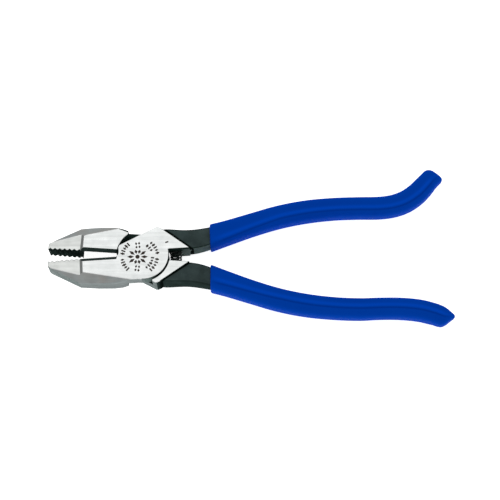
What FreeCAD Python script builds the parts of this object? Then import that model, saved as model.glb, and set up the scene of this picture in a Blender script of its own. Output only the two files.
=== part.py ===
import FreeCAD, Part
import math
import os
import re
import Sketcher

# Side-cutting pliers: two lapped forged halves on a hot-set rivet, a return spring behind
# the rivet and a dipped grip on each handle.
#
# Each half is drawn shut and in its own axes: the rivet's axis is Z, the middle of the
# thickness is Z = 0, the jaw points along -X below the X axis and the handle along +X
# above it. The straight half is the same head turned over, with a handle of its own.
# Placements turn the halves open and lift the rest face to Z = 0.

# name, value in millimetres or degrees, what it is
DIMENSIONS = [
    ("rest_turn", 3.8, "turn of each half from shut to the pose at rest"),
    ("half_thick", 8.0, "half the thickness of the head"),
    ("lap_gap", 0.03, "each lap face's distance from the middle plane"),
    ("jaw_reach", 55.6, "rivet to the tip of the nose"),
    ("nose_wide", 3.8, "width of one jaw at the tip"),
    ("tip_chamfer", 0.6, "chamfer of the tip's outer corner"),
    ("heel_reach", 37.7, "rivet to the widest corner of the jaw"),
    ("heel_wide", 14.0, "width of one jaw there"),
    ("side_reach", 27.0, "rivet to the middle of the jaw's side"),
    ("side_wide", 15.1, "width of one jaw there"),
    ("cheek_reach", 18.2, "rivet to the end of the cheek's bevel"),
    ("cheek_wide", 15.4, "width of one jaw there"),
    ("jaw_end_reach", 13.1, "rivet to the end of the jaw's lapped layer, outside"),
    ("jaw_end_wide", 14.9, "width there"),
    ("jaw_hook_reach", 9.8, "the same, at its inner corner"),
    ("jaw_hook_wide", 13.9, "width there"),
    ("jaw_end_chamfer", 0.8, "chamfer of the layer's slanting end"),
    ("boss_radius", 15.0, "round boss of each lap"),
    ("jaw_recess_radius", 15.3, "recess for the other boss, jaw side"),
    ("handle_recess_radius", 16.1, "recess for the other boss, handle side"),
    ("handle_recess_x", -0.45, "its centre along X"),
    ("handle_recess_y", 0.3, "and along Y"),
    ("web_reach", 3.0, "rivet to where the jaw's web runs into the boss"),
    ("web_end_reach", 12.5, "rivet to the web's outer corner"),
    ("web_end_wide", 14.6, "and along Y"),
    ("web_root_reach", 16.1, "rivet to the web's corner in the jaw"),
    ("web_root_wide", 4.0, "and along Y"),
    ("flat_rise", 12.58, "boss's sloping flat: its height over the rivet"),
    ("flat_slope", 0.446, "and its rise along X"),
    ("flat_start", 16.0, "start of the flat, short of the rivet"),
    ("ear_start", 3.5, "start of the ear along X"),
    ("block_start", 6.9, "start of the ear's lapped layer along X"),
    ("ear_reach", 9.2, "crest of the ear along X"),
    ("ear_round", 2.4, "rounding of the crest"),
    ("ear_foot_reach", 11.3, "foot of the ear along X"),
    ("ear_foot_wide", 15.45, "and along Y"),
    ("throat_start", 15.6, "start of the throat between the handles"),
    ("throat_wide", 2.4, "half the throat's width, shut"),
    ("block_reach", 27.3, "tip of the ground face at the throat"),
    ("nose_step_start", 35.1, "step from the body's face to the nose's"),
    ("nose_step_end", 36.9, "foot of the step"),
    ("nose_half_thick", 7.15, "half the nose's thickness at the step"),
    ("tip_half_thick", 6.15, "and at the tip"),
    ("teeth_start", 53.0, "first tooth gap from the rivet, at the middle plane"),
    ("teeth_slant", 12.1, "slant of the tooth gaps across the jaw"),
    ("teeth_pitch", 2.85, "tooth pitch"),
    ("teeth_count", 6, "tooth gaps"),
    ("teeth_deep", 0.75, "depth of a tooth gap"),
    ("teeth_wide", 1.0, "half the width of a tooth gap"),
    ("knife_start", 36.2, "start of the knife"),
    ("knife_end", 15.5, "end of the knife"),
    ("knife_edge", 6.7, "height of the cutting edge over the middle plane"),
    ("knife_bevel", 1.9, "width of the knife's bevel on the front face"),
    ("knife_relief", 6.0, "width of the opening on the back face"),
    ("cheek_bevel_x", 35.3, "cheek bevel: a point of its edge on the face"),
    ("cheek_bevel_y", 8.4, "and along Y"),
    ("cheek_bevel_turn", -12.6, "direction of the bevel's level lines"),
    ("lean_bevel_y", 9.3, "the same along Y, on the straight half"),
    ("lean_bevel_turn", -15.4, "the same direction, on the straight half"),
    ("cheek_bevel_dip", 27.0, "fall of the bevel"),
    ("nose_bevel_x", 55.0, "nose bevel: a point of its edge on the face"),
    ("nose_bevel_y", 3.9, "and along Y"),
    ("nose_bevel_z", 6.18, "and along Z"),
    ("nose_bevel_turn", -23.8, "direction of the bevel's level lines"),
    ("nose_bevel_dip", 28.7, "fall of the bevel"),
    ("bevel_overrun", 5.0, "how far a bevel's cutter passes its edge"),
    ("overrun", 1.0, "how far another cutter passes the stock"),
    ("skim", 0.01, "how far a cutter passes the edge it starts from"),
    ("shank_radius", 4.5, "rivet's shank"),
    ("head_radius", 6.0, "rivet's head at the face"),
    ("head_deep", 1.6, "depth of the rivet's countersunk head"),
    ("rivet_clearance", 0.04, "running clearance in the moving half"),
    ("pocket_reach", 19.0, "spring pockets from the rivet"),
    ("pocket_radius", 3.6, "spring pocket"),
    ("pocket_deep", 5.0, "depth of a pocket"),
    ("coil_radius", 2.6, "middle of the spring's wire"),
    ("wire_radius", 0.5, "spring wire"),
    ("coil_turns", 8.0, "turns"),
    ("coil_end_gap", 0.3, "gap at each end of the spring, at rest"),
    ("core_corner", 1.6, "corner radius across the bare handle"),
    ("grip_corner", 5.1, "corner radius across a grip"),
    ("end_corner", 0.96, "the same where the grip closes, as a share of its wall"),
    ("mouth_reach", 40.4, "the grip's mouth from the rivet"),
    ("mouth_cut", 20.0, "size of the cutter that squares the mouth"),
]

# A handle's centre line as stations: reach and rise in millimetres, turn in degrees, then
# the forged bar's width and depth and the grip's wall, 0 where the bar is bare.
SHARED_WAY = [
    ("root", 11.0, 8.7, 0.0, 12.3, 14.0, 0.0),
    ("neck", 21.0, 8.6, 0.0, 12.2, 12.8, 0.0),
    ("waist", 32.0, 8.45, 6.0, 12.0, 11.8, 0.0),
    ("mouth", 38.6, 9.6, 13.0, 11.2, 11.2, 1.7),
    ("collar", 50.0, 12.45, 15.0, 9.3, 9.6, 2.1),
    ("rise", 65.0, 16.45, 14.8, 8.8, 9.2, 1.75),
    ("shoulder", 81.0, 20.2, 11.0, 8.6, 9.0, 1.7),
    ("back", 97.0, 22.4, 5.0, 8.6, 9.0, 1.6),
    ("crown", 113.0, 23.1, 0.0, 8.6, 9.0, 1.6),
    ("fall", 128.0, 22.7, -3.0, 8.6, 9.0, 1.6),
]
HOOK_WAY = [
    ("hollow", 140.5, 22.1, -1.0, 8.6, 9.0, 1.6),
    ("bend", 149.0, 22.75, 9.0, 8.6, 9.0, 1.6),
    ("curl", 156.6, 25.1, 24.0, 8.6, 9.0, 1.6),
    ("lift", 163.3, 29.2, 37.0, 8.5, 9.0, 1.6),
    ("crook", 168.6, 34.2, 46.0, 8.2, 8.8, 1.6),
    ("hook_end", 171.9, 37.7, 47.0, 7.6, 8.2, 1.6),
    ("hook_round", 174.4, 40.2, 47.0, 0.0, 0.0, 5.3),
    ("hook_tip", 175.4, 41.3, 47.0, 0.0, 0.0, 4.3),
]
STRAIGHT_WAY = [
    ("low", 140.0, 21.6, -4.5, 8.6, 9.0, 1.6),
    ("dip", 152.0, 20.9, -1.5, 8.4, 9.0, 1.6),
    ("flare", 163.0, 21.3, 6.0, 8.2, 8.8, 1.6),
    ("spread", 172.0, 22.9, 13.0, 7.8, 8.2, 1.6),
    ("end", 176.9, 23.8, 9.0, 6.6, 7.6, 1.7),
    ("nib", 180.3, 24.0, 5.0, 0.0, 0.0, 3.2),
    ("tip", 182.8, 24.2, 3.0, 0.0, 0.0, 1.4),
]

doc = FreeCAD.newDocument("side_cutting_pliers")
sheet = doc.addObject("Spreadsheet::Sheet", "dims")
spreadsheet_rows = []


def cell(alias, value, note):
    """Puts one driving dimension in the sheet, under its alias."""
    spreadsheet_rows.append(alias)
    row = len(spreadsheet_rows)
    sheet.set(f"A{row}", note)
    sheet.set(f"B{row}", str(value))
    sheet.setAlias(f"B{row}", alias)


def bound(text):
    """Turns a formula of plain aliases into one that FreeCAD reads from the sheet."""
    return re.sub(r"\b(?!placement|vector|rotation|sqrt)[a-z]\w*", r"dims.\g<0>", text)


def fill_sheet():
    """All the driving dimensions, then the one that follows from them."""
    for alias, value, note in DIMENSIONS:
        cell(alias, value, note)
    for name, reach, rise, turn, wide, deep, wall in SHARED_WAY + HOOK_WAY + STRAIGHT_WAY:
        cell(name + "_x", reach, f"station {name}: reach")
        cell(name + "_y", rise, f"station {name}: rise")
        cell(name + "_turn", turn, f"station {name}: turn")
        cell(name + "_wide", wide, f"station {name}: width of the bar")
        cell(name + "_deep", deep, f"station {name}: depth of the bar")
        cell(name + "_wall", wall, f"station {name}: wall of the grip")
    row = len(spreadsheet_rows) + 1
    wall = "throat_wide * cos(rest_turn * 1 deg) + pocket_reach * sin(rest_turn * 1 deg)"
    sheet.set(f"A{row}", "half the length of the spring between its wire's end centres, at rest")
    sheet.set(f"B{row}", f"={wall} + pocket_deep - coil_end_gap - wire_radius")
    sheet.setAlias(f"B{row}", "coil_half_long")
    doc.recompute()


def origin_part(body, role):
    """One of the body's own planes or axes."""
    return [each for each in body.Origin.OriginFeatures if each.Role == role][0]


def sketch_on(body, name, role, spot=("0", "0", "0"), angles=("0", "0", "0")):
    """A sketch on one of the body's own planes, moved and turned by sheet formulas."""
    sketch = body.newObject("Sketcher::SketchObject", name)
    sketch.AttachmentSupport = (origin_part(body, role), [""])
    sketch.MapMode = "FlatFace"
    place(sketch, "AttachmentOffset", spot, angles)
    return sketch


def place(thing, name, spot, angles):
    """Binds a placement to formulas for its position and its turns about Z, Y and X."""
    where = "; ".join(spot)
    turn = "; ".join(angles)
    thing.setExpression(name, bound(f"placement(vector({where}); rotation({turn}))"))


def pin(sketch, edge, point, corner):
    """Holds one end of an edge at a corner given by two sheet formulas."""
    for kind, text in zip(("DistanceX", "DistanceY"), corner):
        now = float(sketch.evalExpression(bound(text)))
        number = sketch.addConstraint(Sketcher.Constraint(kind, -1, 1, edge, point, now))
        sketch.setExpression(f"Constraints[{number}]", bound(text))


def polygon(sketch, corners):
    """A closed outline through corners, each a pair of sheet formulas."""
    spots = []
    for corner in corners:
        across, up = (float(sketch.evalExpression(bound(text))) for text in corner)
        spots.append(FreeCAD.Vector(across, up, 0))
    count = len(spots)
    first = sketch.GeometryCount
    for number in range(count):
        sketch.addGeometry(Part.LineSegment(spots[number], spots[(number + 1) % count]))
    for number in range(count):
        after = first + (number + 1) % count
        sketch.addConstraint(Sketcher.Constraint("Coincident", first + number, 2, after, 1))
    for number, corner in enumerate(corners):
        pin(sketch, first + number, 1, corner)
    return sketch


def circle(sketch, radius, centre=("0", "0")):
    """A circle round a point of the sketch, its origin if no other is given."""
    size = float(sketch.evalExpression(bound(radius)))
    edge = sketch.addGeometry(Part.Circle(FreeCAD.Vector(), FreeCAD.Vector(0, 0, 1), size))
    pin(sketch, edge, 3, centre)
    number = sketch.addConstraint(Sketcher.Constraint("Radius", edge, size))
    sketch.setExpression(f"Constraints[{number}]", bound(radius))
    return sketch


def half_disc(sketch, radius, side):
    """Half a disc round the sketch's origin, on the +X side for side 1, else on the -X side."""
    size = float(sketch.evalExpression(bound(radius)))
    middle = Part.Circle(FreeCAD.Vector(), FreeCAD.Vector(0, 0, 1), size)
    start = -math.pi / 2 if side > 0 else math.pi / 2
    arc = sketch.addGeometry(Part.ArcOfCircle(middle, start, start + math.pi))
    low = FreeCAD.Vector(0, -size * side, 0)
    line = sketch.addGeometry(Part.LineSegment(-low, low))
    sketch.addConstraint(Sketcher.Constraint("Coincident", arc, 3, -1, 1))
    sketch.addConstraint(Sketcher.Constraint("Coincident", arc, 2, line, 1))
    sketch.addConstraint(Sketcher.Constraint("Coincident", line, 2, arc, 1))
    sketch.addConstraint(Sketcher.Constraint("Vertical", line))
    number = sketch.addConstraint(Sketcher.Constraint("Radius", arc, size))
    sketch.setExpression(f"Constraints[{number}]", bound(radius))
    return sketch


def rounded_bar(sketch, wide, deep, corner):
    """A rounded rectangle round the sketch's origin, wide along X and deep along Y."""
    half_wide = float(sketch.evalExpression(bound(wide))) / 2
    half_deep = float(sketch.evalExpression(bound(deep))) / 2
    radius = float(sketch.evalExpression(bound(corner)))
    arcs = []
    for number, (side, up) in enumerate(((1, 1), (-1, 1), (-1, -1), (1, -1))):
        centre = FreeCAD.Vector(side * (half_wide - radius), up * (half_deep - radius), 0)
        round_corner = Part.Circle(centre, FreeCAD.Vector(0, 0, 1), radius)
        start = number * math.pi / 2
        arcs.append(sketch.addGeometry(Part.ArcOfCircle(round_corner, start, start + math.pi / 2)))
    lines = []
    for number in range(4):
        here = sketch.getPoint(arcs[number], 2)
        there = sketch.getPoint(arcs[(number + 1) % 4], 1)
        lines.append(sketch.addGeometry(Part.LineSegment(here, there)))
    for number in range(4):
        after = arcs[(number + 1) % 4]
        sketch.addConstraint(Sketcher.Constraint("Tangent", arcs[number], 2, lines[number], 1))
        sketch.addConstraint(Sketcher.Constraint("Tangent", lines[number], 2, after, 1))
    for number in (0, 2):
        sketch.addConstraint(Sketcher.Constraint("Horizontal", lines[number]))
        sketch.addConstraint(Sketcher.Constraint("Vertical", lines[number + 1]))
    for number in range(3):
        sketch.addConstraint(Sketcher.Constraint("Equal", arcs[number], arcs[number + 1]))
    sketch.addConstraint(Sketcher.Constraint("Symmetric", arcs[0], 3, arcs[2], 3, -1, 1))
    number = sketch.addConstraint(Sketcher.Constraint("Radius", arcs[0], radius))
    sketch.setExpression(f"Constraints[{number}]", bound(corner))
    pin(sketch, arcs[0], 3, (f"({wide}) / 2 - ({corner})", f"({deep}) / 2 - ({corner})"))
    return sketch


def grow(body, kind, sketch, length, name, both_ways=False, reverse=False):
    """A pad or a pocket of a sketch; a pocket that cuts nothing is an error."""
    before = body.Shape.Volume if body.Tip else 0.0
    feature = body.newObject(f"PartDesign::{kind}", name)
    feature.Profile = sketch
    feature.setExpression("Length", bound(length))
    feature.Midplane = both_ways
    feature.Reversed = reverse
    sketch.Visibility = False
    body.Tip = feature
    doc.recompute()
    if kind == "Pocket" and body.Shape.Volume > before - 1e-6:
        raise ValueError(f"{name} cuts nothing")
    return feature


def way_section(body, name, station, wide, deep, corner):
    """A section across the handle, square to its centre line at a station."""
    spot = (station + "_y", "0", station + "_x")
    sketch = sketch_on(body, name, "YZ_Plane", spot, ("0", station + "_turn", "0"))
    rounded_bar(sketch, wide, deep, corner)
    sketch.Visibility = False
    return sketch


def bar_loft(body, way, kind, name):
    """The forged bar of a handle, added to a half or cut out of a grip."""
    sections = []
    for station in way:
        if station[4] > 0:
            label = f"{name}_{station[0]}"
            wide = station[0] + "_wide"
            deep = station[0] + "_deep"
            sections.append(way_section(body, label, station[0], wide, deep, "core_corner"))
    return loft(body, sections, kind, name)


def loft(body, sections, kind, name):
    """A loft through sections, added or cut."""
    doc.recompute()
    feature = body.newObject(f"PartDesign::{kind}Loft", name)
    feature.Profile = sections[0]
    feature.Sections = sections[1:]
    body.Tip = feature
    doc.recompute()
    return feature


def edges_between(shape, near, far):
    """The names of the straight edges that run from one point to another."""
    names = []
    for number, edge in enumerate(shape.Edges, 1):
        ends = [vertex.Point for vertex in edge.Vertexes]
        for first, last in (ends, reversed(ends)) if len(ends) == 2 else ():
            if (first - near).Length < 1e-3 and (last - far).Length < 1e-3:
                names.append(f"Edge{number}")
    return names


def dress(body, kind, name, near, far, amount, alias):
    """A chamfer or a fillet along the edge between two points."""
    bare = body.Tip
    edges = edges_between(bare.Shape, near, far)
    if not edges:
        raise ValueError(f"{name} finds no edge")
    feature = body.newObject(f"PartDesign::{kind}", name)
    feature.Base = (bare, edges)
    feature.setExpression(amount, bound(alias))
    body.Tip = feature
    doc.recompute()


def jaw_blank(body):
    """The jaw's plan at full thickness, as far as its lapped layer goes."""
    sketch = sketch_on(body, "jaw_plan", "XY_Plane", ("0", "0", "0"))
    polygon(sketch, [
        ("-jaw_reach", "0"),
        ("-jaw_reach", "tip_chamfer - nose_wide"),
        ("tip_chamfer - jaw_reach", "-nose_wide"),
        ("-heel_reach", "-heel_wide"),
        ("-side_reach", "-side_wide"),
        ("-cheek_reach", "-cheek_wide"),
        ("-jaw_end_reach", "-jaw_end_wide"),
        ("-jaw_hook_reach", "-jaw_hook_wide"),
        ("-jaw_hook_reach", "0"),
    ])
    grow(body, "Pad", sketch, "2 * half_thick", "jaw", both_ways=True)
    outer = FreeCAD.Vector(-sheet.jaw_end_reach, -sheet.jaw_end_wide, -sheet.half_thick)
    inner = FreeCAD.Vector(-sheet.jaw_hook_reach, -sheet.jaw_hook_wide, -sheet.half_thick)
    dress(body, "Chamfer", "jaw_end_edge", outer, inner, "Size", "jaw_end_chamfer")


def handle_blank(body, way):
    """The ground block beside the throat and the forged bar that leaves it."""
    sketch = sketch_on(body, "block_plan", "XY_Plane")
    polygon(sketch, [
        ("block_start", "flat_rise + flat_slope * block_start"),
        ("ear_reach", "flat_rise + flat_slope * ear_reach"),
        ("ear_foot_reach", "ear_foot_wide"),
        ("block_reach", "throat_wide"),
        ("web_reach", "throat_wide"),
    ])
    grow(body, "Pad", sketch, "2 * half_thick", "block", both_ways=True)
    bar_loft(body, way, "Additive", "bar")


def lap_recess(body):
    """Room in the back layer for the other half's boss."""
    lap = "-half_thick - overrun"
    jaw_side = half_disc(sketch_on(body, "jaw_recess_plan", "XY_Plane", ("0", "0", lap)),
                         "jaw_recess_radius", -1)
    grow(body, "Pocket", jaw_side, "half_thick + overrun + lap_gap", "jaw_recess", reverse=True)
    spot = ("handle_recess_x", "handle_recess_y", lap)
    handle_side = half_disc(sketch_on(body, "handle_recess_plan", "XY_Plane", spot),
                            "handle_recess_radius", 1)
    grow(body, "Pocket", handle_side, "half_thick + overrun + lap_gap", "handle_recess", reverse=True)


def boss(body):
    """The front layer: the round boss, its web to the jaw and its web to the ear."""
    depth = "half_thick - lap_gap"
    disc = circle(sketch_on(body, "boss_plan", "XY_Plane", ("0", "0", "lap_gap")), "boss_radius")
    grow(body, "Pad", disc, depth, "boss")
    flat = sketch_on(body, "flat_plan", "XY_Plane", ("0", "0", "lap_gap - overrun"))
    polygon(flat, [
        ("-flat_start", "flat_rise - flat_slope * flat_start"),
        ("ear_start + overrun", "flat_rise + flat_slope * (ear_start + overrun)"),
        ("ear_start + overrun", "boss_radius + 2 * overrun"),
        ("-flat_start", "boss_radius + 2 * overrun"),
    ])
    grow(body, "Pocket", flat, "half_thick + 2 * overrun", "boss_flat", reverse=True)
    web = sketch_on(body, "web_plan", "XY_Plane", ("0", "0", "lap_gap"))
    polygon(web, [
        ("-cheek_reach", "-cheek_wide"),
        ("-web_end_reach", "-web_end_wide"),
        ("-web_reach", "-sqrt(boss_radius * boss_radius - web_reach * web_reach)"),
        ("0", "0"),
        ("-web_root_reach", "-web_root_wide"),
    ])
    grow(body, "Pad", web, depth, "jaw_web")
    ear = sketch_on(body, "ear_plan", "XY_Plane", ("0", "0", "lap_gap"))
    polygon(ear, [
        ("ear_start", "flat_rise + flat_slope * ear_start"),
        ("ear_reach", "flat_rise + flat_slope * ear_reach"),
        ("ear_foot_reach", "ear_foot_wide"),
        ("handle_recess_radius + 2 * overrun", "throat_wide"),
        ("throat_start", "throat_wide"),
        ("0", "0"),
    ])
    grow(body, "Pad", ear, depth, "ear")
    rise = sheet.flat_rise + sheet.flat_slope * sheet.ear_reach
    low = FreeCAD.Vector(sheet.ear_reach, rise, -sheet.half_thick)
    high = FreeCAD.Vector(sheet.ear_reach, rise, sheet.half_thick)
    dress(body, "Fillet", "ear_rounding", low, high, "Radius", "ear_round")


def nose_faces(body):
    """Both faces of the nose, stepped down from the body's and thinner at the tip."""
    fall = "(nose_half_thick - tip_half_thick) / (jaw_reach - nose_step_end)"
    for side, name in ((1, "front"), (-1, "back")):
        sketch = sketch_on(body, f"nose_{name}_side", "XZ_Plane")
        polygon(sketch, [
            ("-nose_step_start", f"{side} * (half_thick + skim)"),
            ("-nose_step_end", f"{side} * nose_half_thick"),
            ("-jaw_reach - overrun", f"{side} * (tip_half_thick - ({fall}) * overrun)"),
            ("-jaw_reach - overrun", f"{side} * (half_thick + skim)"),
        ])
        grow(body, "Pocket", sketch, "3 * heel_wide", f"nose_{name}", both_ways=True)


def bevel(body, name, side, spot, turn, dip):
    """A slanting cut outside a line on the jaw's face, the front's for side 1."""
    lift = f"{side} * ({spot[2]})"
    roll = dip if side > 0 else f"180 - {dip}"
    spot_now = (spot[0], spot[1], lift)
    sketch = sketch_on(body, f"{name}_plan", "XY_Plane", spot_now, (turn, "0", roll))
    polygon(sketch, [
        ("-bevel_overrun", f"{side} * bevel_overrun"),
        ("jaw_reach", f"{side} * bevel_overrun"),
        ("jaw_reach", f"{-side} * 2 * heel_wide"),
        ("-bevel_overrun", f"{-side} * 2 * heel_wide"),
    ])
    grow(body, "Pocket", sketch, "half_thick", name, reverse=True)


def bevels(body, cheek):
    """The ground bevels of the cheek and of the nose, on both faces."""
    for side, name in ((1, "front"), (-1, "back")):
        bevel(body, f"cheek_bevel_{name}", side, ("-cheek_bevel_x", f"-{cheek}_bevel_y", "half_thick"),
              f"{cheek}_bevel_turn", "cheek_bevel_dip")
        bevel(body, f"nose_bevel_{name}", side, ("-nose_bevel_x", "-nose_bevel_y", "nose_bevel_z"),
              "nose_bevel_turn", "nose_bevel_dip")


def knife(body, side):
    """The cutting edge along the X axis, near the front face for side 1."""
    sketch = sketch_on(body, "knife_side", "YZ_Plane", ("0", "0", "-knife_end"))
    slope = "knife_bevel / (half_thick - knife_edge)"
    relief = "knife_relief / (half_thick + knife_edge)"
    polygon(sketch, [
        ("overrun", f"{side} * (half_thick + overrun)"),
        (f"-({slope}) * (half_thick + overrun - knife_edge)", f"{side} * (half_thick + overrun)"),
        ("0", f"{side} * knife_edge"),
        (f"-({relief}) * (half_thick + overrun + knife_edge)", f"{-side} * (half_thick + overrun)"),
        ("overrun", f"{-side} * (half_thick + overrun)"),
    ])
    grow(body, "Pocket", sketch, "knife_start - knife_end", "knife")


def teeth(body):
    """Two slanting rows of grooves that cross and leave the gripping teeth."""
    for side, name in ((1, "rising"), (-1, "falling")):
        sketch = sketch_on(body, f"{name}_groove_plan", "XY_Plane",
                           ("-teeth_start", "0", "0"), ("0", f"{side} * teeth_slant", "0"))
        polygon(sketch, [
            ("-teeth_wide", "skim"),
            ("0", "-teeth_deep"),
            ("teeth_wide", "skim"),
        ])
        groove = grow(body, "Pocket", sketch, "3 * half_thick", f"{name}_groove", both_ways=True)
        pattern = body.newObject("PartDesign::LinearPattern", f"{name}_grooves")
        pattern.Originals = [groove]
        pattern.Direction = (origin_part(body, "X_Axis"), [""])
        pattern.setExpression("Length", bound("teeth_pitch * (teeth_count - 1)"))
        pattern.setExpression("Occurrences", bound("teeth_count"))
        body.Tip = pattern
        doc.recompute()


def rivet_hole(body, clearance):
    """The countersunk hole through the front layer's boss."""
    sketch = sketch_on(body, "rivet_hole_side", "XZ_Plane")
    polygon(sketch, rivet_corners("lap_gap - overrun", "half_thick + overrun", clearance))
    hole = body.newObject("PartDesign::Groove", "rivet_hole")
    hole.Profile = sketch
    hole.ReferenceAxis = (sketch, ["V_Axis"])
    hole.Angle = 360
    body.Tip = hole
    doc.recompute()


def rivet_corners(low, high, clearance):
    """Half the rivet's outline from low to high, widening to the head at the face."""
    slope = "(head_radius - shank_radius) / head_deep"
    return [
        ("0", low),
        (f"shank_radius + {clearance}", low),
        (f"shank_radius + {clearance}", "half_thick - head_deep"),
        (f"shank_radius + {clearance} + ({slope}) * (head_deep + {high} - half_thick)", high),
        ("0", high),
    ]


def spring_pocket(body):
    """The blind hole for the spring in the throat's wall."""
    spot = ("pocket_reach", "0", "-throat_wide + overrun")
    sketch = circle(sketch_on(body, "pocket_plan", "XZ_Plane", spot), "pocket_radius")
    grow(body, "Pocket", sketch, "pocket_deep + overrun", "spring_pocket")


def make_half(label, way, edge_side, clearance, cheek):
    """One forged half: jaw, laps and bare handle; its knife is near the front for side 1."""
    body = doc.addObject("PartDesign::Body", label)
    body.Label = label
    jaw_blank(body)
    handle_blank(body, way)
    lap_recess(body)
    boss(body)
    nose_faces(body)
    bevels(body, cheek)
    knife(body, edge_side)
    teeth(body)
    rivet_hole(body, clearance)
    spring_pocket(body)
    return body


def make_rivet():
    """The rivet, its two countersunk heads flush with the faces."""
    body = doc.addObject("PartDesign::Body", "pivot_rivet")
    body.Label = "pivot_rivet"
    sketch = sketch_on(body, "rivet_side", "XZ_Plane")
    slope = "half_thick - head_deep"
    polygon(sketch, [
        ("0", "-half_thick"),
        ("head_radius", "-half_thick"),
        ("shank_radius", f"-({slope})"),
        ("shank_radius", slope),
        ("head_radius", "half_thick"),
        ("0", "half_thick"),
    ])
    shank = body.newObject("PartDesign::Revolution", "rivet_turning")
    shank.Profile = sketch
    shank.ReferenceAxis = (sketch, ["V_Axis"])
    shank.Angle = 360
    body.Tip = shank
    doc.recompute()
    return body


def make_spring():
    """The return spring, a coil along Y between the two pockets, at rest."""
    body = doc.addObject("PartDesign::Body", "return_spring")
    body.Label = "return_spring"
    sketch = sketch_on(body, "wire_section", "XY_Plane")
    circle(sketch, "wire_radius", ("coil_radius", "-coil_half_long"))
    doc.recompute()
    coil = body.newObject("PartDesign::AdditiveHelix", "coil")
    coil.Profile = sketch
    coil.ReferenceAxis = (sketch, ["V_Axis"])
    coil.Mode = "height-turns-angle"
    coil.setExpression("Height", bound("2 * coil_half_long"))
    coil.setExpression("Turns", bound("coil_turns"))
    body.Tip = coil
    doc.recompute()
    return body


def make_grip(label, way):
    """A dipped grip: a rounded sleeve over the bar, closed at its end."""
    body = doc.addObject("PartDesign::Body", label)
    body.Label = label
    sections = []
    for station in way:
        name = station[0]
        if station[6] > 0:
            wide = f"{name}_wide + 2 * {name}_wall"
            deep = f"{name}_deep + 2 * {name}_wall"
            corner = "grip_corner" if station[4] > 0 else f"end_corner * {name}_wall"
            sections.append(way_section(body, f"sleeve_{name}", name, wide, deep, corner))
    loft(body, sections, "Additive", "sleeve")
    bar_loft(body, way, "Subtractive", "bar_room")
    end = sketch_on(body, "mouth_plan", "XY_Plane")
    polygon(end, [
        ("mouth_reach", "0"),
        ("mouth_reach", "mouth_cut"),
        ("mouth_reach - mouth_cut / 2", "mouth_cut"),
        ("mouth_reach - mouth_cut / 2", "0"),
    ])
    grow(body, "Pocket", end, "mouth_cut", "mouth", both_ways=True)
    return body


def check():
    """Stops at any failed feature or unsound shape."""
    for each in doc.Objects:
        if "Invalid" in each.State or "Error" in each.State:
            raise ValueError(f"{each.Name} is {each.State}")
    for body in bodies:
        shape = body.Shape
        if shape.isNull() or not shape.isValid() or len(shape.Solids) != 1:
            raise ValueError(f"{body.Label} isn't one sound solid")


fill_sheet()
hook_way = SHARED_WAY + HOOK_WAY
straight_way = SHARED_WAY + STRAIGHT_WAY
hook_half = make_half("hook_handle_half", hook_way, 1, "0", "cheek")
straight_half = make_half("straight_handle_half", straight_way, -1, "rivet_clearance", "lean")
rivet = make_rivet()
spring = make_spring()
hook_grip = make_grip("hook_handle_grip", hook_way)
straight_grip = make_grip("straight_handle_grip", straight_way)
for body in (hook_half, hook_grip, rivet):
    place(body, "Placement", ("0", "0", "half_thick"), ("rest_turn", "0", "0"))
for body in (straight_half, straight_grip):
    place(body, "Placement", ("0", "0", "half_thick"), ("-rest_turn", "0", "180"))
place(spring, "Placement", ("pocket_reach", "0", "half_thick"), ("0", "0", "0"))
doc.recompute()
bodies = [hook_half, straight_half, rivet, spring, hook_grip, straight_grip]
check()

os.makedirs("parts", exist_ok=True)
for body in bodies:
    body.Shape.exportStep(f"parts/{body.Label}.step")
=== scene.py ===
import math

import bmesh
import bpy
from mathutils import Matrix, Vector
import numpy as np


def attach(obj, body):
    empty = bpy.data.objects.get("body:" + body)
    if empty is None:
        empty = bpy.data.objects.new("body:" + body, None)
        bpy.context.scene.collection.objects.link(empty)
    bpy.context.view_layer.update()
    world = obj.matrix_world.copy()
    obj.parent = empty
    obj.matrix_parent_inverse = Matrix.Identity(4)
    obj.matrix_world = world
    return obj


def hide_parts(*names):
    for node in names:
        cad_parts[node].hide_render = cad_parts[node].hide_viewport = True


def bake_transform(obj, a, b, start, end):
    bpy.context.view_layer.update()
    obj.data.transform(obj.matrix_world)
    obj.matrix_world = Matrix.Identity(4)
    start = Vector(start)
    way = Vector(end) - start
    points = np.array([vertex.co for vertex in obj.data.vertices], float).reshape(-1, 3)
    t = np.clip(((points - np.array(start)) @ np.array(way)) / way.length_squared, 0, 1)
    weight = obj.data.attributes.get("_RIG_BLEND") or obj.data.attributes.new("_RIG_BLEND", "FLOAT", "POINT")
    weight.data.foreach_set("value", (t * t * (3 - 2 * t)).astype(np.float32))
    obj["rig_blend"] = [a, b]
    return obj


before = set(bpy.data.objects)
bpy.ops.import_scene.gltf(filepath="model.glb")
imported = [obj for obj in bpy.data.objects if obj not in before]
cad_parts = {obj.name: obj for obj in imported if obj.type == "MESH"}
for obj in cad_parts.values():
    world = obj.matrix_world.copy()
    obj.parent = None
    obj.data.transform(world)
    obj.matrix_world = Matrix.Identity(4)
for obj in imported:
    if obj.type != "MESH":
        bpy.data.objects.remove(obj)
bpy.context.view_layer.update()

# Side-cutting pliers. Sizes here are in millimetres, and in a half's own axes where they
# belong to a half: shut, the rivet's axis is Z, the middle of the thickness is Z = 0, the
# jaw points along -X below the X axis and the handle along +X above it. The hook half is
# turned by REST_TURN at rest, and the straight half is turned over and then back.
MM = 0.001
REST_TURN = math.radians(3.8)
HALF_THICK = 8.0
HOOK = 1
STRAIGHT = -1

# The step down from the polished jaw to its nose, from X to X, and the line in the plan
# where the ground face steps down to the black handle.
NOSE_STEP = (-37.0, -35.0)
BLOCK_LINE = ((11.3, 15.45), (27.3, 2.4))

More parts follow.
